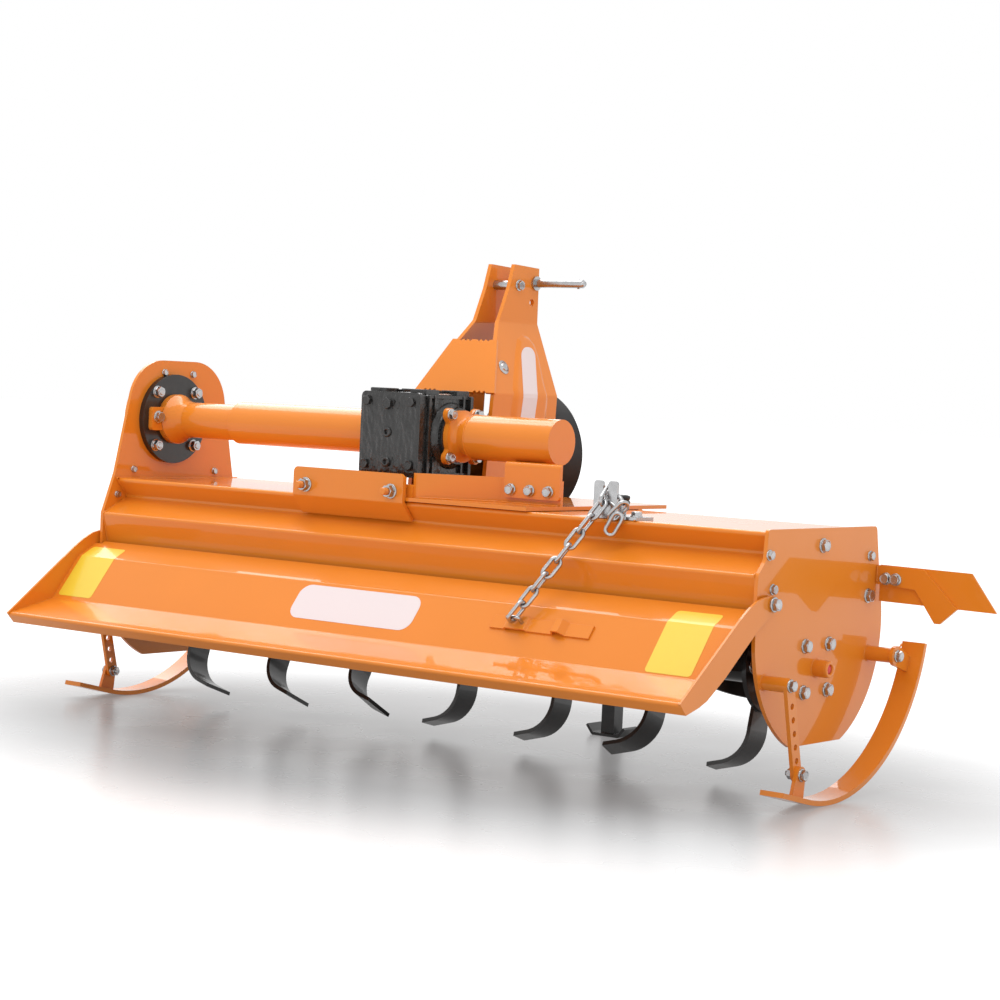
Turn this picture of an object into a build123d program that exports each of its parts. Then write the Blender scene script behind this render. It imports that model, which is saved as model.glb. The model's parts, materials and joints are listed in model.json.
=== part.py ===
"""Rotavator for a three-point linkage, side-shifted, 1.75 m working width.

Millimetres. X runs along the rotor, +Y forward to the tractor, +Z up, floor at z = 0.
Until the last step X = 0 is midway between the two side plates. The last step shifts
every piece so that the origin is the bottom centre of the whole machine.
"""
import os
from math import atan2, cos, hypot, radians, sin

from build123d import *

# ---------------------------------------------------------------- driving sizes
WIDTH = 1750            # over the faces that carry the rotor bearings
PLATE = 8               # side plates
SHEET = 5               # hood
FLAP = 4                # tailboard sheet
GAP = 6                 # least gap between moving pieces
SLIDE = 1               # gap under the sliding saddle
FIT = 0.1               # radial gap of a turning or telescoping fit

AXLE_Y, AXLE_Z = 53, 246            # rotor axis
SWEEP_R = 225                       # blade tips
DRIVE_Y, DRIVE_Z = 29.5, 652        # drive tube and gearbox axis
HITCH_X = -114                      # gearbox, mast and power shaft

HOOD_TOP = 513
HOOD_REAR, HOOD_FRONT = -141, 262   # edges of the flat top
NECK_IN, NECK_DROP = 38, 43         # dovetail under both edges of the top

PIVOT_Y, PIVOT_Z = -138, 378        # tailboard hinge
STRIP_Y, STRIP_Z = -173.5, 367      # tailboard upper edge
BEND_Y, BEND_Z = -234, 335          # tailboard upper bend
CREASE_Y, CREASE_Z = -309, 241      # tailboard lower bend
LIP_Y, LIP_Z = -440, 212            # tailboard rear edge
LIP_FOOT_Y, LIP_FOOT_Z = -419, 190  # foot of its turned-down lip

SKID_R = 370                        # outer radius of the skid bar
SKID_Y = -30                        # where the skid touches the floor

RIGHT = WIDTH / 2                   # outer face of the right end plate
LEFT = -WIDTH / 2                   # inner face of the left side plate


# ---------------------------------------------------------------- helpers
def across(face, x0, x1):
    """A profile drawn as (y, z), made solid from x0 to x1."""
    return Pos(x0, 0, 0) * extrude(Plane.YZ * face, x1 - x0)


def along(face, y0, y1):
    """A profile drawn as (x, z), made solid from y0 to y1."""
    return Pos(0, y0, 0) * extrude(Plane.XZ * face, -(y1 - y0))


def upward(face, z0, z1):
    """A profile drawn as (x, y), made solid from z0 to z1."""
    return Pos(0, 0, z0) * extrude(face, z1 - z0)


def outline(points, radius=0.0):
    """A closed face through the points, with its corners rounded."""
    if not radius:
        return make_face(Polyline(*points, close=True))
    return make_face(FilletPolyline(*points, radius=radius, close=True))


def disc(y, z, r):
    return Pos(y, z) * Circle(r)


def offset_line(points, gap):
    """The points of an open line moved sideways by gap, to its left."""
    moved = []
    for i, (u, v) in enumerate(points):
        before = points[max(i - 1, 0)]
        here = points[min(i, len(points) - 2) if i == 0 else i]
        after = points[min(i + 1, len(points) - 1)]
        d0 = (here[0] - before[0], here[1] - before[1]) if i else None
        d1 = (after[0] - u, after[1] - v) if i < len(points) - 1 else None
        d0, d1 = d0 or d1, d1 or d0
        n0 = (-d0[1] / hypot(*d0), d0[0] / hypot(*d0))
        n1 = (-d1[1] / hypot(*d1), d1[0] / hypot(*d1))
        share = 1 + n0[0] * n1[0] + n0[1] * n1[1]
        moved.append((u + gap * (n0[0] + n1[0]) / share, v + gap * (n0[1] + n1[1]) / share))
    return moved


def bent(points, thick, radius, other=None):
    """The section of a bent sheet: the line is its left face, thick its gauge."""
    inner = offset_line(points, -thick)
    ring = list(points) + inner[::-1]
    bends = len(points) - 2
    radii = [0] + [radius] * bends + [0, 0] + [other or radius] * bends + [0]
    return make_face(FilletPolyline(*ring, radius=radii, close=True))


def rod_x(y, z, r, x0, x1):
    return across(disc(y, z, r), x0, x1)


def tube_x(y, z, r, bore, x0, x1):
    return across(disc(y, z, r) - disc(y, z, bore), x0, x1)


def hull(circles):
    """The face round two circles given as (y, z, r)."""
    return make_hull([disc(*c).edge() for c in circles])


def polar(r, degrees_):
    return r * cos(radians(degrees_)), r * sin(radians(degrees_))


pieces = {}

# ---------------------------------------------------------------- hood and side plates
HOOD_EDGE = [
    (HOOD_FRONT + 38, 330),
    (HOOD_FRONT + 26, HOOD_TOP - 82),
    (HOOD_FRONT - NECK_IN, HOOD_TOP - NECK_DROP),
    (HOOD_FRONT, HOOD_TOP),
    (HOOD_REAR, HOOD_TOP),
    (HOOD_REAR + NECK_IN, HOOD_TOP - NECK_DROP),
    (HOOD_REAR - 38, HOOD_TOP - 81),
    (HOOD_REAR - 17, HOOD_TOP - 153),
]
pieces["hood"] = across(bent(HOOD_EDGE, -SHEET, 6), LEFT, RIGHT - PLATE)

GUARD_Y, GUARD_Z, GUARD_R = 65, 320, 242    # round lower part of both side plates
GUARD_FOOT = 98                             # cut flat at the foot
PLATE_REAR = GUARD_Y - GUARD_R
SHOULDER_LINE = HOOD_TOP - 80               # the round part ends, the top begins


def guard_plate(top):
    """The round-bottomed lower part of a side plate, joined to the given top."""
    low = disc(GUARD_Y, GUARD_Z, GUARD_R) & outline([
        (PLATE_REAR, GUARD_FOOT), (PLATE_REAR, SHOULDER_LINE),
        (GUARD_Y + GUARD_R, SHOULDER_LINE), (GUARD_Y + GUARD_R, GUARD_FOOT)])
    return low + top


end_top = outline([
    (PLATE_REAR, GUARD_Z), (PLATE_REAR, SHOULDER_LINE), (HOOD_REAR - 10, HOOD_TOP - 53),
    (HOOD_REAR - 6, HOOD_TOP + 5), (HOOD_FRONT + 8, HOOD_TOP + 5),
    (HOOD_FRONT + 22, HOOD_TOP - 65), (GUARD_Y + GUARD_R, GUARD_Z),
], radius=[0.1, 14, 20, 8, 10, 20, 0.1])
GREASE_R = 17                               # grease boss, through the right plate
pieces["right_end_plate"] = across(guard_plate(end_top) - disc(AXLE_Y, AXLE_Z, GREASE_R), RIGHT - PLATE, RIGHT)

ARCH_TOP = 788
arch = outline([
    (PLATE_REAR, SHOULDER_LINE), (HOOD_REAR - 2, HOOD_TOP + 12), (-84, ARCH_TOP),
    (190, ARCH_TOP), (249, HOOD_TOP - 5), (HOOD_FRONT + 22, HOOD_TOP - 65),
], radius=[0.1, 60, 105, 105, 60, 0.1])
left_top = outline([(PLATE_REAR, GUARD_Z), (PLATE_REAR, SHOULDER_LINE),
                    (HOOD_FRONT + 22, HOOD_TOP - 65), (GUARD_Y + GUARD_R, GUARD_Z)])
pieces["left_side_plate"] = across(guard_plate(left_top) + arch, LEFT - PLATE, LEFT)

CASE_DEPTH = 42                             # drive case on the outside of the left plate
case_out = LEFT - PLATE - CASE_DEPTH
case = across(hull([(DRIVE_Y, DRIVE_Z, 112), (AXLE_Y, AXLE_Z, 138)]), case_out, LEFT - PLATE)
case = fillet(case.faces().sort_by(Axis.X)[0].edges(), 16)
case += across(hull([(DRIVE_Y, DRIVE_Z, 124), (AXLE_Y, AXLE_Z, 148)]), LEFT - PLATE - 5, LEFT - PLATE)
pieces["drive_case"] = case

# ---------------------------------------------------------------- rotor
SHAFT_R, SHAFT_WALL, END_PLUG = 45, 9, 40
STUB_R = 22
HUB_DEPTH = 24
shaft_left, shaft_right = LEFT + HUB_DEPTH + GAP, RIGHT - PLATE - HUB_DEPTH - GAP
FLANGE_T, FLANGE_R = 10, 100
FLANGE_IN_LEFT, FLANGE_IN_RIGHT = 130, 93   # outermost flanges, from the faces of the side plates
FLANGE_ROWS = (
    # share of the rotor before it, right-hand blades lead, first blade in degrees from straight down
    (0, True, -18),
    (265, True, -25),
    (255, True, -32),
    (275, False, -9),
    (254, False, -12),
    (244, False, -20),
    (226, False, -10),                      # beside the plate, with left-hand blades only
)
first_flange, last_flange = LEFT + FLANGE_IN_LEFT, RIGHT - PLATE - FLANGE_IN_RIGHT
shares = [row[0] for row in FLANGE_ROWS]
share_width = (last_flange - first_flange) / sum(shares)
flange_x = [first_flange + share_width * sum(shares[:i + 1]) for i in range(len(shares))]

rotor = rod_x(AXLE_Y, AXLE_Z, SHAFT_R, shaft_left, shaft_right)
rotor -= rod_x(AXLE_Y, AXLE_Z, SHAFT_R - SHAFT_WALL, shaft_left + END_PLUG, shaft_right - END_PLUG)
rotor += rod_x(AXLE_Y, AXLE_Z, STUB_R, LEFT + 4, shaft_left)
rotor += rod_x(AXLE_Y, AXLE_Z, STUB_R, shaft_right, RIGHT - PLATE - 4)
for x in flange_x:
    rotor += tube_x(AXLE_Y, AXLE_Z, FLANGE_R, SHAFT_R, x - FLANGE_T / 2, x + FLANGE_T / 2)
pieces["rotor_shaft"] = rotor

BLADE_T, BLADE_W, BLADE_GAP = 8, 64, 8
BLADE_REACH = (share_width * min(shares[1:]) - FLANGE_T - BLADE_GAP) / 2
BLADE_ROOT, BLADE_BEND = 52, 76             # where the shank begins, radius of its bend
BLADES = 4                                  # on a flange, right and left hand in turn


def blade():
    """One hook-shaped blade about the X axis, its shank on x = 0, its leg towards +X."""
    line = [(0, BLADE_ROOT), (0, SWEEP_R - 30), (BLADE_REACH, SWEEP_R - 2)]
    section = bent(line, BLADE_T, BLADE_BEND, BLADE_BEND - BLADE_T)
    slab = along(section, -BLADE_W / 2, BLADE_W / 2)
    narrow, broad = 0.4 * BLADE_W, 0.5 * BLADE_W
    sweep = across(disc(0, 0, SWEEP_R) & outline([
        (-narrow, BLADE_ROOT), (narrow, BLADE_ROOT), (broad, 130), (broad, SWEEP_R + 15),
        (-broad, SWEEP_R + 15), (-broad, 130)]), -1, BLADE_REACH + 1)
    tip = upward(outline([(-1, -broad), (-1, broad), (BLADE_REACH - 16, broad), (BLADE_REACH, -broad)]),
                 0, SWEEP_R + 15)
    return slab & sweep & tip


right_hand = blade()
left_hand = mirror(right_hand, Plane.YZ)
hub_centre = Pos(0, AXLE_Y, AXLE_Z)
blades_right, blades_left = [], []
for x, (_, right_leads, first) in zip(flange_x, FLANGE_ROWS):
    for k in range(BLADES):
        on_flange = hub_centre * Rot(180 + first + k * 360 / BLADES, 0, 0)
        if x < flange_x[-1] and right_leads == (k % 2 == 0):
            blades_right.append(Pos(x + FLANGE_T / 2, 0, 0) * on_flange * right_hand)
        else:
            blades_left.append(Pos(x - FLANGE_T / 2, 0, 0) * on_flange * left_hand)
pieces["right_hand_blades"] = Compound(blades_right)
pieces["left_hand_blades"] = Compound(blades_left)

hub = disc(AXLE_Y, AXLE_Z, 62) - disc(AXLE_Y, AXLE_Z, STUB_R + FIT)
pieces["left_bearing"] = across(hub, LEFT, LEFT + HUB_DEPTH)
pieces["right_bearing"] = (across(hub, RIGHT - PLATE - HUB_DEPTH, RIGHT - PLATE)
                           + rod_x(AXLE_Y, AXLE_Z, 30, RIGHT - PLATE - 3, RIGHT - PLATE)
                           + rod_x(AXLE_Y, AXLE_Z, GREASE_R, RIGHT - PLATE, RIGHT + 28))

# ---------------------------------------------------------------- drive line
DRIVE_FLANGE_R, DRIVE_FLANGE_T = 104, 14
INNER_R, OUTER_R, TUBE_GAP = 41, 48, 1
NECK_R, INNER_NECK, OUTER_NECK = 36, 30, 35     # cones from the flanges up to the tubes
TUBE_FLANGE_T = 12
INNER_END, OUTER_START, OUTER_BLIND = -420, -646, 40
EAR_PITCH = 46                              # bolts of an eared flange, square half side


def eared_flange(x0, x1, ear=14, body=56):
    """A flange with four ears, one for each bolt."""
    face = disc(DRIVE_Y, DRIVE_Z, body)
    for sy in (-1, 1):
        for sz in (-1, 1):
            face += hull([(DRIVE_Y, DRIVE_Z, 20),
                          (DRIVE_Y + sy * EAR_PITCH, DRIVE_Z + sz * EAR_PITCH, ear)])
    return across(face, x0, x1)


def neck(x0, r0, x1, r1):
    """A cone on the drive axis."""
    cone = Solid.make_cone(r0, r1, abs(x1 - x0), Plane((0, 0, 0), z_dir=(1 if x1 > x0 else -1, 0, 0)))
    return Pos(x0, DRIVE_Y, DRIVE_Z) * cone


flange_face = LEFT + DRIVE_FLANGE_T
pieces["drive_flange"] = rod_x(DRIVE_Y, DRIVE_Z, DRIVE_FLANGE_R, LEFT, flange_face)
inner_start = flange_face + TUBE_FLANGE_T
EAR_REACH, EAR_HIGH = 87, 54                # its two broad ears, to the rear and to the front
inner = across(disc(DRIVE_Y, DRIVE_Z, 58) + Pos(DRIVE_Y, DRIVE_Z) * RectangleRounded(2 * EAR_REACH, EAR_HIGH, 8),
               flange_face, inner_start)
inner += neck(inner_start, NECK_R, inner_start + INNER_NECK, INNER_R)
inner += rod_x(DRIVE_Y, DRIVE_Z, INNER_R, inner_start + INNER_NECK, INNER_END)
pieces["inner_drive_tube"] = inner

GEAR_W, GEAR_REAR, GEAR_FRONT = 159, -62, 95
GEAR_LOW, GEAR_HIGH = 563, 739
GEAR_BOSS = 24
gear_left, gear_right = HITCH_X + 80 - GEAR_W, HITCH_X + 80
gearbox = along(outline([(gear_left, GEAR_LOW), (gear_right, GEAR_LOW),
                         (gear_right, GEAR_HIGH), (gear_left, GEAR_HIGH)], 8), GEAR_REAR, GEAR_FRONT)
gearbox += rod_x(DRIVE_Y, DRIVE_Z, 60, gear_left - GEAR_BOSS, gear_right + GEAR_BOSS)
PTO_Z = 612                                 # power shaft, below the drive tube
INPUT_R, INPUT_END = 56, 140
gearbox += along(Pos(HITCH_X, PTO_Z) * Circle(INPUT_R), GEAR_FRONT, INPUT_END)
for x in (-150, -72):
    gearbox += Pos(x, 20, GEAR_HIGH) * Box(24, 60, 16)
STUB_PTO_R = 17.45
SHAFT_REAR, SHAFT_SHOULDER, SHAFT_FRONT, JOURNAL_R = 62, 305, 400, 21
gearbox -= along(Pos(HITCH_X, PTO_Z) * Circle(JOURNAL_R + FIT), SHAFT_REAR - 2, INPUT_END)
power_shaft = along(Pos(HITCH_X, PTO_Z) * Circle(JOURNAL_R), SHAFT_REAR, SHAFT_SHOULDER)
power_shaft += along(Pos(HITCH_X, PTO_Z) * Circle(STUB_PTO_R), SHAFT_SHOULDER, SHAFT_FRONT)
pieces["power_shaft"] = power_shaft
pieces["gearbox"] = gearbox
COVER_T = 18
pieces["gearbox_cover"] = along(outline([
    (gear_left - 2, GEAR_LOW - 2), (gear_right + 2, GEAR_LOW - 2),
    (gear_right + 2, GEAR_HIGH + 2), (gear_left - 2, GEAR_HIGH + 2)], 12), GEAR_REAR - COVER_T, GEAR_REAR)

outer_left = gear_left - GEAR_BOSS
outer = eared_flange(outer_left - TUBE_FLANGE_T, outer_left)
outer += rod_x(DRIVE_Y, DRIVE_Z, OUTER_R, OUTER_START, outer_left - TUBE_FLANGE_T)
outer -= rod_x(DRIVE_Y, DRIVE_Z, INNER_R + TUBE_GAP, OUTER_START, outer_left - OUTER_BLIND)
pieces["outer_drive_tube"] = outer

support_face = gear_right + GEAR_BOSS
SUPPORT_END = 261
support_start = support_face + TUBE_FLANGE_T
support = eared_flange(support_face, support_start)
support += neck(support_start, NECK_R, support_start + OUTER_NECK, OUTER_R)
support += rod_x(DRIVE_Y, DRIVE_Z, OUTER_R, support_start + OUTER_NECK, SUPPORT_END)
pieces["support_tube"] = support


# ---------------------------------------------------------------- saddle, clamps and front beam
SADDLE_LEFT, SADDLE_RIGHT, SADDLE_FRONT = -319, 303, 372
SADDLE_T = 8
saddle_low = HOOD_TOP + SLIDE
saddle_top = saddle_low + SADDLE_T
CLAMP_T, CLAMP_RIGHT, CLAMP_TOP = 8, -12, 571
clamp_rear = HOOD_REAR - SLIDE

saddle_rear = clamp_rear + 2
saddle = upward(Pos((SADDLE_LEFT + SADDLE_RIGHT) / 2, (saddle_rear + SADDLE_FRONT) / 2)
                * Rectangle(SADDLE_RIGHT - SADDLE_LEFT, SADDLE_FRONT - saddle_rear), saddle_low, saddle_top)
saddle += along(outline([(SADDLE_LEFT + 4, saddle_low + 3), (CLAMP_RIGHT - 4, saddle_low + 3),
                         (CLAMP_RIGHT - 4, CLAMP_TOP - 6), (SADDLE_LEFT + 4, CLAMP_TOP - 6)]),
                clamp_rear, clamp_rear + SADDLE_T)
WEB_Y, WEB_TOP = -20, 574
web_line = [(-4, -125), (6, -125), (150, WEB_Y), (SADDLE_RIGHT - 2, WEB_Y)]
saddle += upward(bent(web_line, -8, 10), saddle_top, WEB_TOP)
pieces["saddle"] = saddle

clamp_line = offset_line([
    (HOOD_REAR, CLAMP_TOP), (HOOD_REAR, HOOD_TOP),
    (HOOD_REAR + 0.85 * NECK_IN, HOOD_TOP - 0.85 * NECK_DROP)], -SLIDE)
rear_clamp = across(bent(clamp_line, CLAMP_T, 6), SADDLE_LEFT, CLAMP_RIGHT)
pieces["rear_clamp"] = fillet(rear_clamp.edges().filter_by(Axis.Y).group_by(Axis.Z)[-1], 12)
hook_top, hook_low = HOOD_FRONT + SLIDE + 1, HOOD_FRONT + SLIDE + 1 - 0.85 * NECK_IN
pieces["front_clamp"] = across(outline([
    (hook_top, saddle_low), (hook_top + 14, saddle_low),
    (hook_low + 14, saddle_low - 0.85 * NECK_DROP), (hook_low, saddle_low - 0.85 * NECK_DROP)]),
    SADDLE_LEFT, SADDLE_RIGHT)

BEAM, BEAM_WALL, BEAM_REACH = 60, 5, 350
beam_y = SADDLE_FRONT - BEAM / 2
beam_z = saddle_low - BEAM / 2
beam_ring = Pos(beam_y, beam_z) * (Rectangle(BEAM, BEAM) - Rectangle(BEAM - 2 * BEAM_WALL, BEAM - 2 * BEAM_WALL))
hitch_beam = across(beam_ring, HITCH_X - BEAM_REACH, HITCH_X + BEAM_REACH)

HITCH_PIN_R, HITCH_EYE_R = 11, 30
HITCH_PIN_Y, HITCH_PIN_Z = 405, 470
SHOULDER = 683 / 2                          # lower link pins, half the distance between their shoulders
LUG_PLATE, PIN_FREE = 14, 74
for side, name in ((-1, "left"), (1, "right")):
    eye = disc(HITCH_PIN_Y, HITCH_PIN_Z, HITCH_EYE_R) + outline([
        (beam_y + BEAM / 2, beam_z - BEAM / 2), (HITCH_PIN_Y, HITCH_PIN_Z - HITCH_EYE_R),
        (HITCH_PIN_Y, HITCH_PIN_Z + HITCH_EYE_R), (beam_y + BEAM / 2, beam_z + BEAM / 2)])
    span = sorted((HITCH_X + side * SHOULDER, HITCH_X + side * (SHOULDER - LUG_PLATE)))
    hitch_beam += across(eye, *span)
    span = sorted((HITCH_X + side * SHOULDER, HITCH_X + side * (SHOULDER + PIN_FREE)))
    pieces[f"{name}_hitch_pin"] = rod_x(HITCH_PIN_Y, HITCH_PIN_Z, HITCH_PIN_R, *span)
pieces["hitch_beam"] = hitch_beam

# ---------------------------------------------------------------- mast
MAST_TOP = 1037
MAST_T, MAST_IN, MAST_OUT = 10, 27.5, 97.5      # inner faces from the middle, top and foot
BEND_HIGH, BEND_LOW = MAST_TOP - 132, MAST_TOP - 292
SHOULDER_Z = MAST_TOP - 175                     # where the rear edge turns up, over the brace
TOP_PIN_Y, TOP_PIN_Z, TOP_PIN_R = 367.5, MAST_TOP - 38, 9.5
SPACER_Y, SPACER_Z, SPACER_R = 305, MAST_TOP - 46, 7
side_view = outline([
    (288, MAST_TOP), (379, MAST_TOP - 4), (381, BEND_HIGH), (SADDLE_FRONT, BEND_LOW - 45),
    (SADDLE_FRONT, saddle_top), (120, saddle_top), (141, BEND_LOW), (207, SHOULDER_Z),
    (240, SHOULDER_Z + 49), (271, MAST_TOP - 55)])
mast_holes = (disc(TOP_PIN_Y, TOP_PIN_Z, TOP_PIN_R + FIT) + disc(TOP_PIN_Y - 11, TOP_PIN_Z - 44, 8)
              + disc(SPACER_Y, SPACER_Z, SPACER_R + FIT))
fold = [(MAST_IN, MAST_TOP + 5), (MAST_IN, BEND_HIGH), (MAST_OUT, BEND_LOW), (MAST_OUT, saddle_top)]
sheet = along(bent(fold, -MAST_T, 12), 100, 400) & across(side_view - mast_holes, 0, 200)
pieces["right_mast"] = Pos(HITCH_X, 0, 0) * sheet
pieces["left_mast"] = Pos(HITCH_X, 0, 0) * mirror(sheet, Plane.YZ)
mast_face = HITCH_X + MAST_IN + MAST_T
pieces["top_pin"] = (rod_x(TOP_PIN_Y, TOP_PIN_Z, TOP_PIN_R, HITCH_X - MAST_IN - MAST_T - 14, 55)
                     + tube_x(TOP_PIN_Y, TOP_PIN_Z, 16, TOP_PIN_R, mast_face, mast_face + 5))
pieces["mast_spacer"] = (rod_x(SPACER_Y, SPACER_Z, SPACER_R, HITCH_X - MAST_IN - MAST_T - 12, mast_face + 9)
                         + tube_x(SPACER_Y, SPACER_Z, 11, SPACER_R, HITCH_X - MAST_IN, HITCH_X + MAST_IN))
BRACE_T = 6
brace_low, brace_high = Vector(0, 141, BEND_LOW), Vector(0, 207, SHOULDER_Z)
slope = (brace_high - brace_low).normalized()
brace_plane = Plane(origin=(HITCH_X, brace_low.Y, brace_low.Z), x_dir=(1, 0, 0),
                    z_dir=Vector(1, 0, 0).cross(slope))
brace_length = (brace_high - brace_low).length
brace_face = outline([(-MAST_OUT - 14, 0), (MAST_OUT + 14, 0),
                      (MAST_OUT - 35.5, brace_length), (35.5 - MAST_OUT, brace_length)])
for x in (12, 25, 38):                      # scalloped upper and lower edges
    for side in (-1, 1):
        brace_face -= Pos(side * x, brace_length) * Circle(4) + Pos(side * (x + 44), 0) * Circle(4)
pieces["mast_brace"] = extrude(brace_plane * brace_face, BRACE_T)

# ---------------------------------------------------------------- support bracket, power shaft and guards
BRACKET_LEFT, BRACKET_T, BRACKET_LOW = 160, 8, 533
bracket_top = DRIVE_Z - OUTER_R + 4
bracket_line = [(WEB_Y - BRACKET_T, BRACKET_LOW), (WEB_Y - BRACKET_T, bracket_top), (DRIVE_Y + 18, bracket_top)]
bracket = across(bent(bracket_line, BRACKET_T, 9), BRACKET_LEFT, SADDLE_RIGHT)
bracket = fillet(bracket.edges().filter_by(Axis.Y).group_by(Axis.Z)[0], 8)
FLANGE_END = SADDLE_RIGHT - 63              # the bent top stops short of the upright
bracket -= Pos((FLANGE_END + SADDLE_RIGHT) / 2 + 5, WEB_Y + 50, bracket_top) * Box(
    SADDLE_RIGHT - FLANGE_END + 10, 100, 40)
pieces["tube_bracket"] = bracket - rod_x(DRIVE_Y, DRIVE_Z, OUTER_R, 0, SUPPORT_END + 60)

BELL_REAR, BELL_FRONT, BELL_IN, BELL_R, BELL_T = SADDLE_FRONT, 425, 104, 148, 4
bell_line = [(60, BELL_REAR + BELL_T), (BELL_IN, BELL_REAR + BELL_T), (BELL_R, BELL_FRONT)]
bell_face = Plane.YZ * bent([(v, u) for u, v in bell_line], -BELL_T, 5)
bell = revolve(bell_face, Axis((0, 0, 0), (0, 1, 0)))
pieces["shaft_guard"] = Pos(HITCH_X, 0, PTO_Z) * bell
inner_guard = Circle(66) - Circle(62)
pieces["inner_guard"] = along(Pos(HITCH_X, PTO_Z) * inner_guard, GEAR_FRONT, SADDLE_FRONT)

# ---------------------------------------------------------------- tailboard
LEFT_WING, RIGHT_WING, WING_T = LEFT - PLATE - GAP, RIGHT + GAP, 5
board_line = [(STRIP_Y, STRIP_Z), (BEND_Y, BEND_Z), (CREASE_Y, CREASE_Z), (LIP_Y, LIP_Z), (LIP_FOOT_Y, LIP_FOOT_Z)]
board = across(bent(board_line, -FLAP, 5), LEFT_WING, RIGHT_WING)
NOTCH_Y = PLATE_REAR - GAP                  # the board's corners clear the side plates
for x0, x1 in ((LEFT_WING - 1, LEFT + GAP), (RIGHT - PLATE - GAP, RIGHT_WING + 1)):
    board -= Pos((x0 + x1) / 2, NOTCH_Y + 60, 330) * Box(x1 - x0, 120, 120)
PIN_R, EAR_R = 8, 17
wing_top = [(-146, 394), (-167, 392), (-194, 386), (-220, 373), (-246, 356)]
wing_low = [(-378, 201), (-352, 211), (-336, 221), (-290, 251), (-245, 286), (-187, 330), (-126, 366)]
wing = outline(wing_top + [(LIP_Y, LIP_Z), (LIP_FOOT_Y, LIP_FOOT_Z)] + wing_low)
wing = wing + disc(PIVOT_Y, PIVOT_Z, EAR_R) - disc(PIVOT_Y, PIVOT_Z, PIN_R + FIT)
board += across(wing, RIGHT_WING, RIGHT_WING + WING_T)
board += across(wing, LEFT_WING - WING_T, LEFT_WING)
pieces["tailboard"] = board
pieces["hinge_pins"] = Compound([
    rod_x(PIVOT_Y, PIVOT_Z, PIN_R, RIGHT, RIGHT_WING + WING_T + 3),
    rod_x(PIVOT_Y, PIVOT_Z, PIN_R, LEFT_WING - WING_T - 3, LEFT - PLATE)])

# ---------------------------------------------------------------- chain, its anchor and its fork
ANCHOR_X, ANCHOR_Y = 388.5, -263
board_slope = atan2(CREASE_Z - BEND_Z, CREASE_Y - BEND_Y)
along_board = Vector(0, cos(board_slope), sin(board_slope))
board_up = Vector(0, sin(board_slope), -cos(board_slope))
on_board = Vector(ANCHOR_X, ANCHOR_Y,
                  BEND_Z + (ANCHOR_Y - BEND_Y) * (CREASE_Z - BEND_Z) / (CREASE_Y - BEND_Y))

STRIP_W, STRIP_T, PAD, HAT = 30, 4, 5, 12   # hat-bent strip on the board
hats = [(-62, 0), (-26, 0), (-22, PAD), (22, PAD), (26, 0), (90, 0), (95, HAT), (106, HAT), (119, 0), (176, 0)]
strip_plane = Plane(origin=on_board, x_dir=(1, 0, 0), z_dir=along_board)
pieces["chain_anchor"] = extrude(strip_plane * bent(hats, -STRIP_T, 2), STRIP_W / 2, both=True)

FORK_X, FORK_Y, FORK_T, FORK_W, FORK_HIGH = 490, -133, 6, 56, 74
FORK_SLOT, SLOT_FOOT = 12, 20
fork_side, slot_side = FORK_W / 2, FORK_SLOT / 2
fork_face = outline([
    (-fork_side, 0), (fork_side, 0), (fork_side, FORK_HIGH), (slot_side, FORK_HIGH),
    (slot_side, SLOT_FOOT), (-slot_side, SLOT_FOOT), (-slot_side, FORK_HIGH), (-fork_side, FORK_HIGH),
], radius=[0.1, 0.1, 7, 7, 5, 5, 7, 7])
fork = along(Pos(FORK_X, HOOD_TOP) * fork_face, FORK_Y, FORK_Y + FORK_T)
FORK_BASE = 104                             # its foot, a flat bar on the hood, to the right
fork += Pos(FORK_X - fork_side + FORK_BASE / 2, FORK_Y + 30, HOOD_TOP + FORK_T / 2) * Box(FORK_BASE, 60, FORK_T)
pieces["chain_fork"] = fork

WIRE_R, LINK_HALF_W, PLAY = 4, 10, 0.2      # links, to the middle of the wire
STAPLE_W, STAPLE_HIGH = 14, 17             # to the middle of the wire, over the strip
CHAIN_LINKS = 8                             # from the staple to the link in the fork
HEAD_TILT, HEAD_UP = 48, 45                 # link in the fork: degrees above level, over the hood
head_axis = Vector(0, *polar(1, HEAD_TILT))
head_centre = Vector(FORK_X, FORK_Y + FORK_T / 2, HOOD_TOP + HEAD_UP)
hook = head_centre + Vector(3.3, -9.3, -11.0)    # top of the next link's wire
staple_top = on_board + board_up * (PAD + STRIP_T + STAPLE_HIGH)
run_axis = (hook - staple_top).normalized()
across_run = (Vector(1, 0, 0) - run_axis * run_axis.X).normalized()
pitch = ((hook - staple_top).length + 0.7) / CHAIN_LINKS
straight = (pitch + PLAY) / 2 + WIRE_R - LINK_HALF_W


def wire(path):
    """A round wire along a path."""
    return sweep(Plane(origin=path @ 0, z_dir=path % 0) * Circle(WIRE_R), path=path)


staple = wire(FilletPolyline(               # its bar along X, standing on the board
    (-STAPLE_W, PAD + STRIP_T, 0), (-STAPLE_W, PAD + STRIP_T + STAPLE_HIGH, 0),
    (STAPLE_W, PAD + STRIP_T + STAPLE_HIGH, 0), (STAPLE_W, PAD + STRIP_T, 0), radius=5))
pieces["chain_staple"] = strip_plane.location * staple

bow = LINK_HALF_W
link = wire(Wire([                          # about the origin, long along Z, flat in XZ
    Edge.make_line((bow, 0, -straight), (bow, 0, straight)),
    Edge.make_three_point_arc((bow, 0, straight), (0, 0, straight + bow), (-bow, 0, straight)),
    Edge.make_line((-bow, 0, straight), (-bow, 0, -straight)),
    Edge.make_three_point_arc((-bow, 0, -straight), (0, 0, -straight - bow), (bow, 0, -straight))]))


def link_at(centre, heading, wide):
    """A link centred at a point, long along heading, its width nearest to the direction wide."""
    side = (wide - heading * wide.dot(heading)).normalized()
    return Plane(origin=centre, x_dir=side, z_dir=heading).location * link


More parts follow.
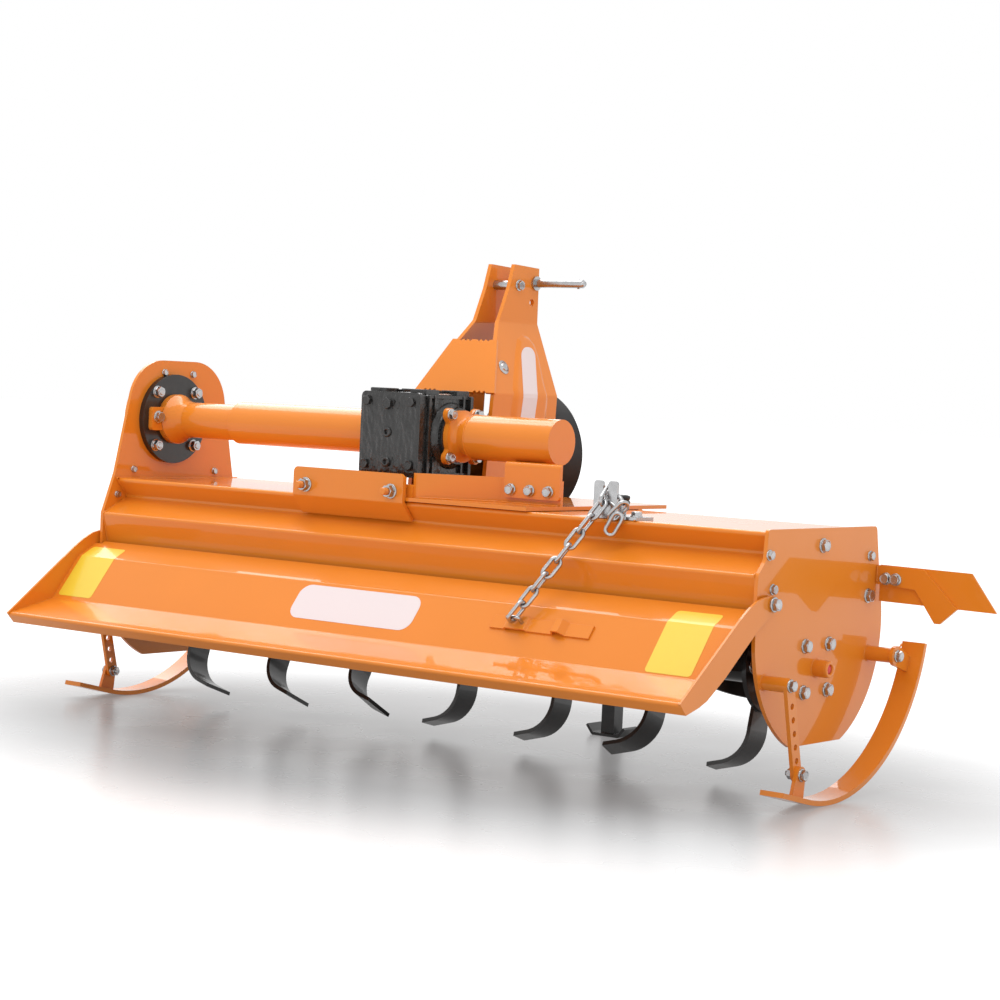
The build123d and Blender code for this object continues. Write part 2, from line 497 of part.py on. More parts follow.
TWIST_STEP = 11                             # extra degrees of turn from link to link, towards mid chain
links = [link_at(head_centre, head_axis, Vector(0, 1, 0))]
for k in range(CHAIN_LINKS):
    turn = TWIST_STEP * min(k, CHAIN_LINKS - 1 - k) + (90 if k % 2 else 0)
    wide = across_run * cos(radians(turn)) + run_axis.cross(across_run) * sin(radians(turn))
    links.append(link_at(hook - run_axis * (straight + LINK_HALF_W + pitch * k), run_axis, wide))
pieces["lift_chain"] = Compound(links)

# ---------------------------------------------------------------- skids
SKID_W, SKID_T = 50, 10
TOE_ANGLE, TOE_LENGTH, HEEL_ANGLE = 13, 94, 77


def rim(radius, angle):
    """The point at a radius from the skid's centre, the angle from straight down, forwards positive."""
    return SKID_Y + radius * sin(radians(angle)), SKID_R - radius * cos(radians(angle))


def skid_section():
    """The bar from its toe round to its top end, in (y, z)."""
    def toe(radius):
        y, z = rim(radius, -TOE_ANGLE)
        return y - TOE_LENGTH * cos(radians(TOE_ANGLE)), z + TOE_LENGTH * sin(radians(TOE_ANGLE))

    outer, inner_ = SKID_R, SKID_R - SKID_T
    middle = (HEEL_ANGLE - TOE_ANGLE) / 2
    return make_face(Wire([
        Edge.make_line(toe(outer), rim(outer, -TOE_ANGLE)),
        Edge.make_three_point_arc(rim(outer, -TOE_ANGLE), rim(outer, middle), rim(outer, HEEL_ANGLE)),
        Edge.make_line(rim(outer, HEEL_ANGLE), rim(inner_, HEEL_ANGLE)),
        Edge.make_three_point_arc(rim(inner_, HEEL_ANGLE), rim(inner_, middle), rim(inner_, -TOE_ANGLE)),
        Edge.make_line(rim(inner_, -TOE_ANGLE), toe(inner_)),
        Edge.make_line(toe(inner_), toe(outer))]))


LUG_ANGLE, LUG_IN, TAB_ANGLE, TAB_IN = 69.8, 63, -11.8, 53     # pins of the skid, inwards from its rim
STRAP_Y, STRAP_Z = -138, 230
STRAP_W, STRAP_T, LUG_T, BOLT_R = 28, 8, 8, 6
HOLE_STEP = 27
skid_pin, tab_pin = rim(SKID_R - LUG_IN, LUG_ANGLE), rim(SKID_R - TAB_IN, TAB_ANGLE)


def skid(x0, lug, face):
    """A skid bar over x0 … x0 + SKID_W, its lugs from lug to lug + LUG_T, its tube to the plate's face."""
    bar = across(skid_section(), x0, x0 + SKID_W)
    lug_face = hull([(*skid_pin, 20), (*rim(SKID_R - 7, LUG_ANGLE), 16)])
    tab_face = hull([(*tab_pin, 16), (*rim(SKID_R - 13, TAB_ANGLE), 20)])
    inside = disc(SKID_Y, SKID_R, SKID_R - SKID_T)
    lugs = across(((lug_face + tab_face) & inside) - disc(*tab_pin, BOLT_R), lug, lug + LUG_T)
    near = min((lug, lug + LUG_T), key=lambda x: abs(x - face))
    return bar + lugs + rod_x(*skid_pin, 15, *sorted((face, near)))


def strap(x0, face):
    """The strap with the row of height holes, and its tube to the plate's face."""
    shape = hull([(STRAP_Y, STRAP_Z, STRAP_W / 2), (*tab_pin, STRAP_W / 2)])
    down_y, down_z = tab_pin[0] - STRAP_Y, tab_pin[1] - STRAP_Z
    length = hypot(down_y, down_z)
    for k in range(int(length / HOLE_STEP)):
        share = 1 - k * HOLE_STEP / length
        shape -= disc(STRAP_Y + share * down_y, STRAP_Z + share * down_z, BOLT_R)
    near = min((x0, x0 + STRAP_T), key=lambda x: abs(x - face))
    return across(shape, x0, x0 + STRAP_T) + rod_x(STRAP_Y, STRAP_Z, 14, *sorted((face, near)))


SKID_ROWS = (
    # name, bar from, lugs from, strap from, plate face
    ("right", RIGHT + 43, RIGHT + 58, RIGHT + 50, RIGHT),
    ("left", LEFT - 75, LEFT - 48, LEFT - 40, LEFT - PLATE),
)
for name, bar_x, lug_x, strap_x, face in SKID_ROWS:
    pieces[f"{name}_skid"] = skid(bar_x, lug_x, face)
    pieces[f"{name}_skid_strap"] = strap(strap_x, face)

# ---------------------------------------------------------------- right deflector
DEFLECT_Y, DEFLECT_Z = GUARD_Y + GUARD_R - 30, HOOD_TOP - 73
pieces["deflector_arm"] = along(Pos(RIGHT, DEFLECT_Z) * outline([
    (0, 0), (105, -2), (181, -74), (145, -106), (133, -106), (87, -43), (0, -38)]), DEFLECT_Y, DEFLECT_Y + 6)
pieces["deflector_board"] = along(Pos(RIGHT, DEFLECT_Z) * outline([
    (5, 1), (206, -1), (263, -75), (5, -72)]), DEFLECT_Y + 6, DEFLECT_Y + 10)

# ---------------------------------------------------------------- parking stand
STAND_X, STAND_LEG, SLEEVE_WALL = 172, 34, 4
SLEEVE_LOW, SLEEVE_HIGH, LEG_TOP = 420, 500, 505
sleeve_side = STAND_LEG + 2 * (SLEEVE_WALL + 1)
stand_y = beam_y + BEAM / 2 + sleeve_side / 2
sleeve_ring = Rectangle(sleeve_side, sleeve_side) - Rectangle(STAND_LEG + 2, STAND_LEG + 2)
pieces["stand_sleeve"] = upward(Pos(STAND_X, stand_y) * sleeve_ring, SLEEVE_LOW, SLEEVE_HIGH)
FOOT_T = 6
stand = upward(Pos(STAND_X, stand_y) * (Rectangle(STAND_LEG, STAND_LEG) - Rectangle(STAND_LEG - 8, STAND_LEG - 8)),
               FOOT_T, LEG_TOP)
foot_line = [(-52, 20), (-36, 0), (36, 0), (52, 20)]
stand += Pos(STAND_X, 0, 0) * along(bent(foot_line, -FOOT_T, 7), stand_y - 26, stand_y + 26)
pieces["parking_stand"] = stand

# ---------------------------------------------------------------- origin and export
whole = Compound(list(pieces.values())).bounding_box()
home = Pos(-(whole.min.X + whole.max.X) / 2, -(whole.min.Y + whole.max.Y) / 2, -whole.min.Z)
os.makedirs("parts", exist_ok=True)
for name, piece in pieces.items():
    export_step(home * piece, f"parts/{name}.step")
print("origin moved by", home.position, "size", whole.size)
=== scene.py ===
"""Looks of the rotary tiller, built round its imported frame.

Blender works in metres. Tables in this file are millimetres in the drawing frame of the part:
x along the rotor from midway between the side plates, y forward, z up from the floor.
at() turns such a point into the shared frame.
"""
import json
import math
import random

import bmesh
import bpy
from mathutils import Matrix, Vector, noise


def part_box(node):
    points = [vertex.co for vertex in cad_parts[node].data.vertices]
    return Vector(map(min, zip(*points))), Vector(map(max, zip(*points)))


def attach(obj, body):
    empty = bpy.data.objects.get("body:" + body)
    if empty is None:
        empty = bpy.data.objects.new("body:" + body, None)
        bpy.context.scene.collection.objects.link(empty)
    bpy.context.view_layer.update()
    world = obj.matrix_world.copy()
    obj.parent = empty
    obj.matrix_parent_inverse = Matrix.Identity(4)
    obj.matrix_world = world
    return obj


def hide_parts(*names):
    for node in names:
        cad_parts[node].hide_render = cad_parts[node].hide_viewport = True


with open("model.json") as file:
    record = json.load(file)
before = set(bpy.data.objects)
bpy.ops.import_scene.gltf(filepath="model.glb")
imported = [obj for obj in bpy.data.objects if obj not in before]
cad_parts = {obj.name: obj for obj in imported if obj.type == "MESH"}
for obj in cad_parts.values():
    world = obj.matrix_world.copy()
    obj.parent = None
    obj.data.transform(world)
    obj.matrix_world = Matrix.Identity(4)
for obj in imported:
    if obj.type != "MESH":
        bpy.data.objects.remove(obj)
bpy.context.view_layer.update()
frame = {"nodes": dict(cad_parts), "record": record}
random.seed(7)

MM = 0.001
RIGHT, SPACER_Y = 875, 305                  # right plate's outer face and the mast spacer's middle
plate_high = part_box("right_end_plate")[1]
spacer_low, spacer_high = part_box("mast_spacer")
ORIGIN = Vector((plate_high.x - RIGHT * MM, (spacer_low.y + spacer_high.y) / 2 - SPACER_Y * MM, 0))
X, Y, Z = Vector((1, 0, 0)), Vector((0, 1, 0)), Vector((0, 0, 1))


def at(x, y, z):
    """A point of the drawing, in metres in the shared frame."""
    return ORIGIN + Vector((x, y, z)) * MM


# ------------------------------------------------------------------ materials
def surface(name, colour, roughness, metallic=0.0, coat=0.0, coat_roughness=0.05, specular=0.5,
            tint=0.06, tint_size=60.0, relief=(0.0, 400.0), edge_wear_highlight=None, edge_wear_highlight_size=1.6, round_edge=1.2,
            rough_spread=0.08, coat_ior=1.5, stretch=(1.0, 1.0, 1.0)):
    """A procedural finish: mottled colour and roughness, a fine relief, softened edges, and edges worn and
    painted lighter as a highlight.

    tint is how far the colour strays, tint_size how many patches a metre holds, relief the depth in
    millimetres and the patches a metre of the bumps, edge_wear_highlight the colour of rubbed edges, lighter
    than the paint, partly wear and partly a painted highlight, stretch the scale of all patches along
    the three axes.
    """
    m = bpy.data.materials.new(name)
    m.use_nodes = True
    nodes, links = m.node_tree.nodes, m.node_tree.links
    shader = nodes["Principled BSDF"]
    shader.inputs["Metallic"].default_value = metallic
    shader.inputs["Coat Weight"].default_value = coat
    shader.inputs["Coat Roughness"].default_value = coat_roughness
    shader.inputs["Coat IOR"].default_value = coat_ior
    shader.inputs["Specular IOR Level"].default_value = specular
    coordinates, place = nodes.new("ShaderNodeTexCoord"), nodes.new("ShaderNodeMapping")
    place.inputs["Scale"].default_value = stretch
    links.new(coordinates.outputs["Object"], place.inputs["Vector"])

    def cloud(scale, detail=3.0):
        n = nodes.new("ShaderNodeTexNoise")
        n.inputs["Scale"].default_value = scale
        n.inputs["Detail"].default_value = detail
        links.new(place.outputs["Vector"], n.inputs["Vector"])
        return n.outputs["Fac"]

    def ramp(source, low, high, at_low=0.3, at_high=0.7):
        r = nodes.new("ShaderNodeMapRange")
        r.inputs["From Min"].default_value, r.inputs["From Max"].default_value = at_low, at_high
        r.inputs["To Min"].default_value, r.inputs["To Max"].default_value = low, high
        links.new(source, r.inputs["Value"])
        return r.outputs["Result"]

    def mix(factor, a, b):
        x = nodes.new("ShaderNodeMix")
        x.data_type = "RGBA"
        links.new(factor, x.inputs["Factor"])
        for socket, value in ((x.inputs["A"], a), (x.inputs["B"], b)):
            if isinstance(value, bpy.types.NodeSocket):
                links.new(value, socket)
            else:
                socket.default_value = (*value, 1)
        return x.outputs["Result"]

    patches = cloud(tint_size)
    dark = [max(0.0, c * (1 - tint)) for c in colour]
    light = [min(1.0, c * (1 + tint)) for c in colour]
    shade = mix(ramp(patches, 0, 1), dark, light)
    edge = nodes.new("ShaderNodeBevel")
    edge.samples = 4
    edge.inputs["Radius"].default_value = round_edge * MM
    # edges are mixed towards a lighter colour, partly wear and partly a painted highlight along the edges
    if edge_wear_highlight:
        rim = nodes.new("ShaderNodeBevel")
        rim.samples = 4
        rim.inputs["Radius"].default_value = edge_wear_highlight_size * MM
        agree = nodes.new("ShaderNodeVectorMath")
        agree.operation = "DOT_PRODUCT"
        flat = nodes.new("ShaderNodeNewGeometry")
        links.new(rim.outputs["Normal"], agree.inputs[0])
        links.new(flat.outputs["Normal"], agree.inputs[1])
        turned = ramp(agree.outputs["Value"], 1, 0, 0.72, 0.97)
        wear_highlight_mask = nodes.new("ShaderNodeMath")
        wear_highlight_mask.operation = "MULTIPLY"
        links.new(turned, wear_highlight_mask.inputs[0])
        links.new(ramp(cloud(900, 4), 0, 0.55, 0.42, 0.66), wear_highlight_mask.inputs[1])
        shade = mix(wear_highlight_mask.outputs["Value"], shade, edge_wear_highlight)
    links.new(shade, shader.inputs["Base Color"])
    links.new(ramp(cloud(tint_size * 2.3), roughness * (1 - rough_spread), roughness * (1 + rough_spread)),
              shader.inputs["Roughness"])
    bump = nodes.new("ShaderNodeBump")
    bump.inputs["Strength"].default_value = 1.0
    bump.inputs["Distance"].default_value = relief[0] * MM
    links.new(cloud(relief[1], 5), bump.inputs["Height"])
    links.new(edge.outputs["Normal"], bump.inputs["Normal"])
    if relief[0] or round_edge:
        links.new(bump.outputs["Normal"], shader.inputs["Normal"])
    return m


# the edge colours below are lighter than each paint or metal: partly wear, partly painted highlight
ORANGE = surface("orange_paint", (0.72, 0.212, 0.016), 0.34, coat=0.8, coat_roughness=0.03, coat_ior=1.42,
                 specular=0.12, tint=0.02, tint_size=5, relief=(0.012, 70), edge_wear_highlight=(0.86, 0.40, 0.12))
BLACK_PAINT = surface("black_paint", (0.012, 0.011, 0.010), 0.32, coat=0.3, tint=0.3, relief=(0.12, 260),
                      edge_wear_highlight=(0.10, 0.09, 0.085))
CASTING = surface("black_casting", (0.016, 0.0155, 0.015), 0.26, coat=0.25, coat_roughness=0.10,
                  tint=0.35, tint_size=40, relief=(2.4, 120), edge_wear_highlight=(0.10, 0.10, 0.095), rough_spread=0.35,
                  stretch=(1.0, 1.0, 0.75))
ZINC = surface("zinc_plate", (0.47, 0.47, 0.475), 0.24, metallic=1.0, tint=0.10, tint_size=60,
               relief=(0.006, 300), edge_wear_highlight=(0.62, 0.62, 0.62), round_edge=0.6, rough_spread=0.25)
STEEL = surface("bare_steel", (0.45, 0.44, 0.42), 0.34, metallic=1.0, tint=0.12, relief=(0.03, 700))
BLACK_PLASTIC = surface("black_plastic", (0.012, 0.012, 0.013), 0.45, tint=0.2, relief=(0.10, 500))
OLIVE_PLASTIC = surface("olive_plastic", (0.11, 0.085, 0.012), 0.45, tint=0.2, relief=(0.06, 300))
RED_PLASTIC = surface("red_plastic", (0.55, 0.012, 0.012), 0.30, tint=0.15, relief=(0.03, 500))
YELLOW_FILM = surface("yellow_film", (0.76, 0.55, 0.040), 0.30, coat=0.4, tint=0.01,
                      relief=(0.0, 90), round_edge=0)
PALE_FILM = surface("pale_film", (0.72, 0.625, 0.625), 0.45, specular=0.3, rough_spread=0.0, tint=0.0,
                    relief=(0.0, 90), round_edge=0)

FINISH = {"orange_paint": ORANGE, "black_paint": BLACK_PAINT, "black_iron": CASTING, "zinc_plate": ZINC,
          "bare_steel": STEEL, "black_plastic": BLACK_PLASTIC, "olive_plastic": OLIVE_PLASTIC}
slot_of = {s["node"]: s["material_slot"] for s in frame["record"]["subparts"]}
for name, node in frame["nodes"].items():
    node.data.materials.clear()
    node.data.materials.append(FINISH[slot_of[name]])


# ------------------------------------------------------------------ mesh helpers
class Batch:
    """Small parts of one finish on one body, gathered into one mesh."""

    made = {}

    def __init__(self, name, body, finish, slot):
        self.name, self.body, self.finish, self.slot = name, body, finish, slot
        self.mesh = bmesh.new()
        Batch.made[name] = self

    def turned(self, place, profile, around=24, smooth=True):
        """Revolves a profile of (radius, height) in millimetres about the local z axis."""
        self.skin([self.circle(place, r, h, around) for r, h in profile], smooth)

    def circle(self, place, r, h, around):
        """Points round the local z axis at height h, or the one point on the axis where r is nought."""
        if r < 1e-6:
            return [self.mesh.verts.new(place @ Vector((0, 0, h * MM)))]
        return [self.mesh.verts.new(place @ Vector((r * MM * math.cos(t), r * MM * math.sin(t), h * MM)))
                for t in (2 * math.pi * k / around for k in range(around))]

    def skin(self, rings, smooth=True):
        """Faces between each ring of points and the next; a ring may be a single point."""
        for low, high in zip(rings, rings[1:]):
            n = max(len(low), len(high))
            for k in range(n):
                corners = [low[k % len(low)], low[(k + 1) % len(low)],
                           high[(k + 1) % len(high)], high[k % len(high)]]
                face = self.mesh.faces.new(list(dict.fromkeys(corners)))
                face.smooth = smooth

    def hexagon(self, place, flats, height, bore=0.0, dish=0.0):
        """A hexagon head or nut with a turned chamfer; its foot is at the local origin."""
        around, rows = 36, []
        half, chamfer_r = flats / 2, flats / 2 * 0.96
        for level in ("foot", "rim", "chamfer"):
            row = []
            for k in range(around):
                t = 2 * math.pi * k / around
                wall = half / math.cos((t + math.pi / 6) % (math.pi / 3) - math.pi / 6)
                r, h = {"foot": (wall, 0), "rim": (wall, height - (wall - chamfer_r) * 0.58),
                        "chamfer": (chamfer_r * 0.98, height)}[level]
                point = Vector((r * MM * math.cos(t), r * MM * math.sin(t), h * MM))
                row.append(self.mesh.verts.new(place @ point))
            rows.append(row)
        self.skin(rows, smooth=False)
        inner = [(bore, height - dish)] if bore else [(half * 0.7, height - dish), (0, height - dish)]
        last = rows[-1]
        for r, h in inner:
            row = self.circle(place, r, h, around)
            self.skin([last, row], smooth=False)
            last = row

    def thread(self, place, r, start, end, pitch=1.75):
        """A threaded end: turned ridges and a chamfered tip."""
        profile, h = [(r, start)], start
        while h < end - pitch:
            profile += [(r, h + pitch * 0.1), (r * 0.9, h + pitch * 0.5), (r, h + pitch * 0.9)]
            h += pitch
        self.turned(place, profile + [(r * 0.85, end), (0, end)], around=16, smooth=False)

    def pipe(self, points, r, around=10, closed=False):
        """A round wire through points of the shared frame, r in millimetres."""
        points = [Vector(p) for p in points]
        rings, up = [], None
        for k, p in enumerate(points):
            before = points[k - 1] if k or closed else p
            after = points[(k + 1) % len(points)] if k < len(points) - 1 or closed else p
            along = (after - before).normalized()
            if up is None:
                up = along.orthogonal().normalized()
            up = (up - along * up.dot(along)).normalized()
            out = along.cross(up)
            radius = (r[k] if isinstance(r, (list, tuple)) else r) * MM
            rings.append([self.mesh.verts.new(p + (up * math.cos(t) + out * math.sin(t)) * radius)
                          for t in (2 * math.pi * j / around for j in range(around))])
        if closed:
            shift = max(range(around), key=lambda j: -(rings[-1][0].co - rings[0][j].co).length)
            self.skin(rings + [rings[0][shift:] + rings[0][:shift]])
        else:
            self.skin(rings)
            for ring in (rings[0], rings[-1]):
                self.mesh.faces.new(ring)

    def slab(self, place, outline, low, high, round_=0.0):
        """A prism over an outline of (x, y) in millimetres at a place, its top rim chamfered."""
        def row(h, inset):
            centre = Vector((sum(p[0] for p in outline), sum(p[1] for p in outline))) / len(outline)
            points = []
            for x, y in outline:
                d = Vector((x, y)) - centre
                points.append(Vector((x, y)) - (d.normalized() * inset if d.length else d))
            return [self.mesh.verts.new(place @ Vector((q.x * MM, q.y * MM, h * MM))) for q in points]

        rows = [row(low, 0), row(high - round_, 0)] + ([row(high, round_)] if round_ else [])
        self.skin(rows, smooth=False)
        for end in (rows[0], rows[-1]):
            self.mesh.faces.new(end)

    def bead(self, points, r=3.0, step=3.2):
        """A weld bead along points of the shared frame, with its ripples."""
        path, radii = [], []
        for a, b in zip(points, points[1:]):
            a, b = Vector(a), Vector(b)
            n = max(2, int((b - a).length / (step * MM)))
            for k in range(n):
                path.append(a.lerp(b, k / n) + Vector((random.uniform(-1, 1), random.uniform(-1, 1),
                                                       random.uniform(-1, 1))) * 0.25 * MM)
                radii.append(r * (1.0 if k % 2 else 0.78) * random.uniform(0.92, 1.08))
        path.append(Vector(points[-1]))
        radii.append(r * 0.7)
        self.pipe(path, radii, around=8)

    def finish_up(self):
        """Turns the gathered mesh into a piece of the scene that rides on its body."""
        mesh = bpy.data.meshes.new(self.name)
        bmesh.ops.recalc_face_normals(self.mesh, faces=self.mesh.faces)
        self.mesh.to_mesh(mesh)
        self.mesh.free()
        piece = bpy.data.objects.new(self.name, mesh)
        bpy.context.scene.collection.objects.link(piece)
        mesh.materials.append(self.finish)
        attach(piece, self.body)
        return piece


def batch(name, body, finish=ZINC, slot="zinc_plate"):
    """The batch of this name, made at its first use."""
    return Batch.made.get(name) or Batch(name, body, finish, slot)


def facing(point, axis, turn=0.0):
    """The place at a point whose local z points along axis, turned about it in degrees."""
    axis = Vector(axis).normalized()
    side = Vector((0, 0, 1)) if abs(axis.z) < 0.9 else Vector((1, 0, 0))
    u = side.cross(axis).normalized()
    v = axis.cross(u)
    turn = math.radians(turn)
    a, b = u * math.cos(turn) + v * math.sin(turn), v * math.cos(turn) - u * math.sin(turn)
    place = Matrix((a, b, axis)).transposed().to_4x4()
    place.translation = point
    return place


# size: across flats, head height, washer radius, washer thickness, thread radius
SIZES = {6: (10, 4, 6, 1.2, 3), 8: (13, 5.5, 8, 1.6, 4), 10: (16, 6.5, 10.5, 2, 5),
         12: (19, 8, 12.5, 2.5, 6), 14: (22, 9, 14.5, 2.5, 7), 16: (24, 10, 16, 3, 8)}


def bolt(body, size, point, axis, tail=0.0, washer=True, spring=False, finish=None, painted=False):
    """A hexagon head with its washer at a point of a face; a tail over zero makes it a nut with thread."""
    flats, head, washer_r, washer_t, r = SIZES[size]
    place = facing(at(*point), axis, random.uniform(0, 60))
    kind = "black_" if finish else ""
    into = batch(f"{body}_{kind}bolts", body, finish or ZINC, "black_iron" if finish else "zinc_plate")
    lift = 0.0
    if washer:
        edge = [(washer_r, 0), (washer_r, washer_t - 0.4), (washer_r - 0.4, washer_t)]
        into.turned(place, edge + [(r, washer_t)], 32)
        lift = washer_t
    if spring:
        into.turned(place @ Matrix.Translation((0, 0, lift * MM)),
                    [(flats * 0.52, 0), (flats * 0.52, 2), (r, 2)], 32)
        lift += 2
    seat = place @ Matrix.Translation((0, 0, lift * MM))
    if tail:
        into.hexagon(seat, flats, head * 1.15, bore=r * 1.05)
        stud = batch(f"{body}_studs", body, ORANGE, "orange_paint") if painted else into
        stud.thread(seat, r, head * 0.9, head * 1.15 + tail)
    else:
        into.hexagon(seat, flats, head, dish=0.5)


# ------------------------------------------------------------------ fasteners
LEFT, PLATE, DRIVE_Y, DRIVE_Z, AXLE_Y, AXLE_Z = -RIGHT, 8, 29.5, 652, 53, 246
MID = -114                                  # gearbox, mast and power shaft
SKID_PIN, TAB_PIN, STRAP_TOP = (258.1, 264.0), (-94.8, 59.7), (-138, 230)

# body, size, point, axis, length of thread past the nut or 0 for a bolt head
BOLTS = [
    ("frame", 10, (RIGHT, -141, 470), X, 0), ("frame", 14, (RIGHT, 57, 484), X, 0),
    ("frame", 10, (RIGHT, 247, 459), X, 0), ("frame", 14, (RIGHT, 245, 379.5), X, 0),
    ("frame", 10, (RIGHT, -124, 405), X, 0),
    ("frame", 14, (889, -138, 378), X, 0), ("frame", 14, (-897, -138, 378), -X, 0),
    ("frame", 12, (897, 277, 414), -Y, 0), ("frame", 12, (919, 277, 414), -Y, 0),
    ("frame", 12, (941, *SKID_PIN), X, 0), ("frame", 12, (941, *TAB_PIN), X, 0),
    ("frame", 12, (925, *TAB_PIN), -X, 5),
    ("frame", 12, (933, *STRAP_TOP), X, 0),
    ("frame", 12, (-923, *SKID_PIN), -X, 0), ("frame", 12, (-923, *TAB_PIN), -X, 0),
    ("frame", 12, (-907, *TAB_PIN), X, 5),
    ("frame", 12, (-915, *STRAP_TOP), -X, 0),
]
BOLTS += [("frame", 8, (LEFT, y, z), X, 0) for y, z in (
    (2, 760), (96, 758), (-58, 652), (-86, 533), (182, 529), (-135, 475))]
BOLTS += [("headstock", 12, (x, -28, 550), -Y, 0) for x in (178, 227, 275)]
BOLTS += [("frame", 14, (LEFT + 26, DRIVE_Y + side * 68, DRIVE_Z + 4), X, 0) for side in (-1, 1)]
BLACK_BOLTS = [("headstock", 12, (x, -80, z), -Y, 0) for x, z in (
    (-177, 585), (-54, 587), (-177, 721), (-55, 721))] + [("headstock", 14, (-119, -80, 716), -Y, 0)]
for sy in (-1, 1):
    for sz in (-1, 1):
        BOLTS += [
            ("frame", 14, (RIGHT, AXLE_Y + 44.8 * sy, AXLE_Z + 44.8 * sz), X, 0),
            ("headstock", 12, (-229, DRIVE_Y + 46 * sy, DRIVE_Z + 46 * sz), -X, 0),
            ("headstock", 12, (2, DRIVE_Y + 46 * sy, DRIVE_Z + 46 * sz), X, 0),
        ]
        bolt("frame", 14, (LEFT + 14, DRIVE_Y + 62 * sy, DRIVE_Z + 62 * sz), X, tail=2, spring=True)
for body, size, point, axis, tail in BOLTS:
    bolt(body, size, point, axis, tail=tail)
for x in (-282, -44):
    bolt("headstock", 16, (x, -150, 533), -Y, tail=13, spring=True, painted=True)
for body, size, point, axis, tail in BLACK_BOLTS:
    bolt(body, size, point, axis, tail=tail, washer=False, finish=CASTING)

# ------------------------------------------------------------------ films stuck on
BOARD = [(-173.5, 367), (-234, 335), (-309, 241), (-440, 212)]      # tailboard's upper face, (y, z)


def film(name, body, finish, slot, spot, x0, x1, s0, s1, corner=8.0, stops=()):
    """A blank rounded film from x0 to x1 and s0 to s1; spot(x, s) gives a point and the outward normal."""
    depths = {s0, s1, *stops}
    for k in range(7):
        d = corner * (1 - math.cos(math.pi * k / 12))
        depths |= {s0 + d, s1 - d}
    top, low = [], []
    into = batch(name, body, finish, slot)
    for depth in sorted(depths):
        near = min(depth - s0, s1 - depth)
        cut = corner - math.sqrt(max(0.0, corner ** 2 - (corner - near) ** 2)) if near < corner else 0.0
        for row, lift in ((top, 0.45), (low, 0.02)):
            ends = []
            for x in (x0 + cut, x1 - cut):
                point, normal = spot(x, depth)
                ends.append(into.mesh.verts.new(point + normal * lift * MM))
            row.append(ends)
    for rows in (top, low):
        for a, b in zip(rows, rows[1:]):
            into.mesh.faces.new((a[0], a[1], b[1], b[0]))
    for side in (0, 1):
        for k in range(len(top) - 1):
            into.mesh.faces.new((top[k][side], top[k + 1][side], low[k + 1][side], low[k][side]))
    for k in (0, -1):
        into.mesh.faces.new((top[k][0], top[k][1], low[k][1], low[k][0]))


def on_board(x, s):
    """A point on the tailboard, s millimetres down its face from the upper edge."""
    for (y0, z0), (y1, z1) in zip(BOARD, BOARD[1:]):
        length = math.hypot(y1 - y0, z1 - z0)
        if s <= length or (y1, z1) == BOARD[-1]:
            dy, dz = (y1 - y0) / length, (z1 - z0) / length
            return at(x, y0 + dy * s, z0 + dz * s), Vector((0, dz, -dy))
        s -= length


BEND_S = math.hypot(60.5, 32)
for x0, x1, s0, s1 in ((-879, -774, 27, 179), (716, 819, 28, 184)):
    film("yellow_films", "tailboard", YELLOW_FILM, None, on_board, x0, x1, s0, s1, 8, (BEND_S,))
film("board_film", "tailboard", PALE_FILM, None, on_board, -195, 132, BEND_S + 8, BEND_S + 93, 27)


# ------------------------------------------------------------------ gearbox casting
GEAR_LEFT, GEAR_RIGHT, COVER_FACE = -193, -34, -80
PLUG = [(11, 0), (11, 4.5), (9, 6.5), (5.8, 6.5), (5.2, 5.5), (5.2, 1.0), (0, 1.0)]
casting = batch("gearbox_casting", "headstock", CASTING, "black_iron")
for z in (655, 591):
    casting.turned(facing(at(-118, COVER_FACE, z), -Y), PLUG, 28)
casting.bead([at(-118, COVER_FACE, 706), at(-119, COVER_FACE, 668)], 1.3)
casting.bead([at(-118, COVER_FACE, 644), at(-118, COVER_FACE, 603)], 1.3)
casting.bead([at(-118, COVER_FACE, 580), at(-118, COVER_FACE, 564)], 1.3)


def block(into, x0, x1, y0, y1, z0, z1, round_=1.5):
    """A box over the given spans of the drawing, its upper rim chamfered."""
    middle_x, middle_y = (x0 + x1) / 2, (y0 + y1) / 2
    half_x, half_y = (x1 - x0) / 2, (y1 - y0) / 2
    place = Matrix.Translation(at(middle_x, middle_y, 0))
    corners = [(-half_x, -half_y), (half_x, -half_y), (half_x, half_y), (-half_x, half_y)]
    into.slab(place, corners, z0, z1, round_)


for x0 in (GEAR_LEFT + 2, GEAR_RIGHT - 46):     # pads on the corners of the top
    for y0 in (-56, 48):
        block(casting, x0, x0 + 44, y0, y0 + 42, 736, 749)
SIDE_RIBS = (
    # y, foot, top, thickness, how far it stands out
    (-54, 566, 738, 7, 9), (86, 566, 738, 9, 11), (-34, 566, 606, 6, 7),
    (-34, 700, 738, 6, 7), (64, 566, 606, 6, 7), (64, 700, 738, 6, 7),
)
for side, x in ((1, GEAR_RIGHT), (-1, GEAR_LEFT)):
    for y, z0, z1, thick, proud in SIDE_RIBS:
        block(casting, *sorted((x - side, x + side * proud)), y - thick / 2, y + thick / 2, z0, z1, 2.5)
    block(casting, *sorted((x - side, x + side * 6)), -60, 92, 563, 572, 2.5)
    block(casting, *sorted((x - side, x + side * 5)), -60, 92, 731, 738, 2.5)
    casting.turned(facing(at(x, DRIVE_Y, DRIVE_Z), X * side),
                   [(72, 0), (70, 5), (63, 9), (60, 14), (60, 22)], 48)
casting.turned(facing(at(MID, 95, 612), Y), [(70, 0), (70, 10), (66, 13), (56, 13)], 48)


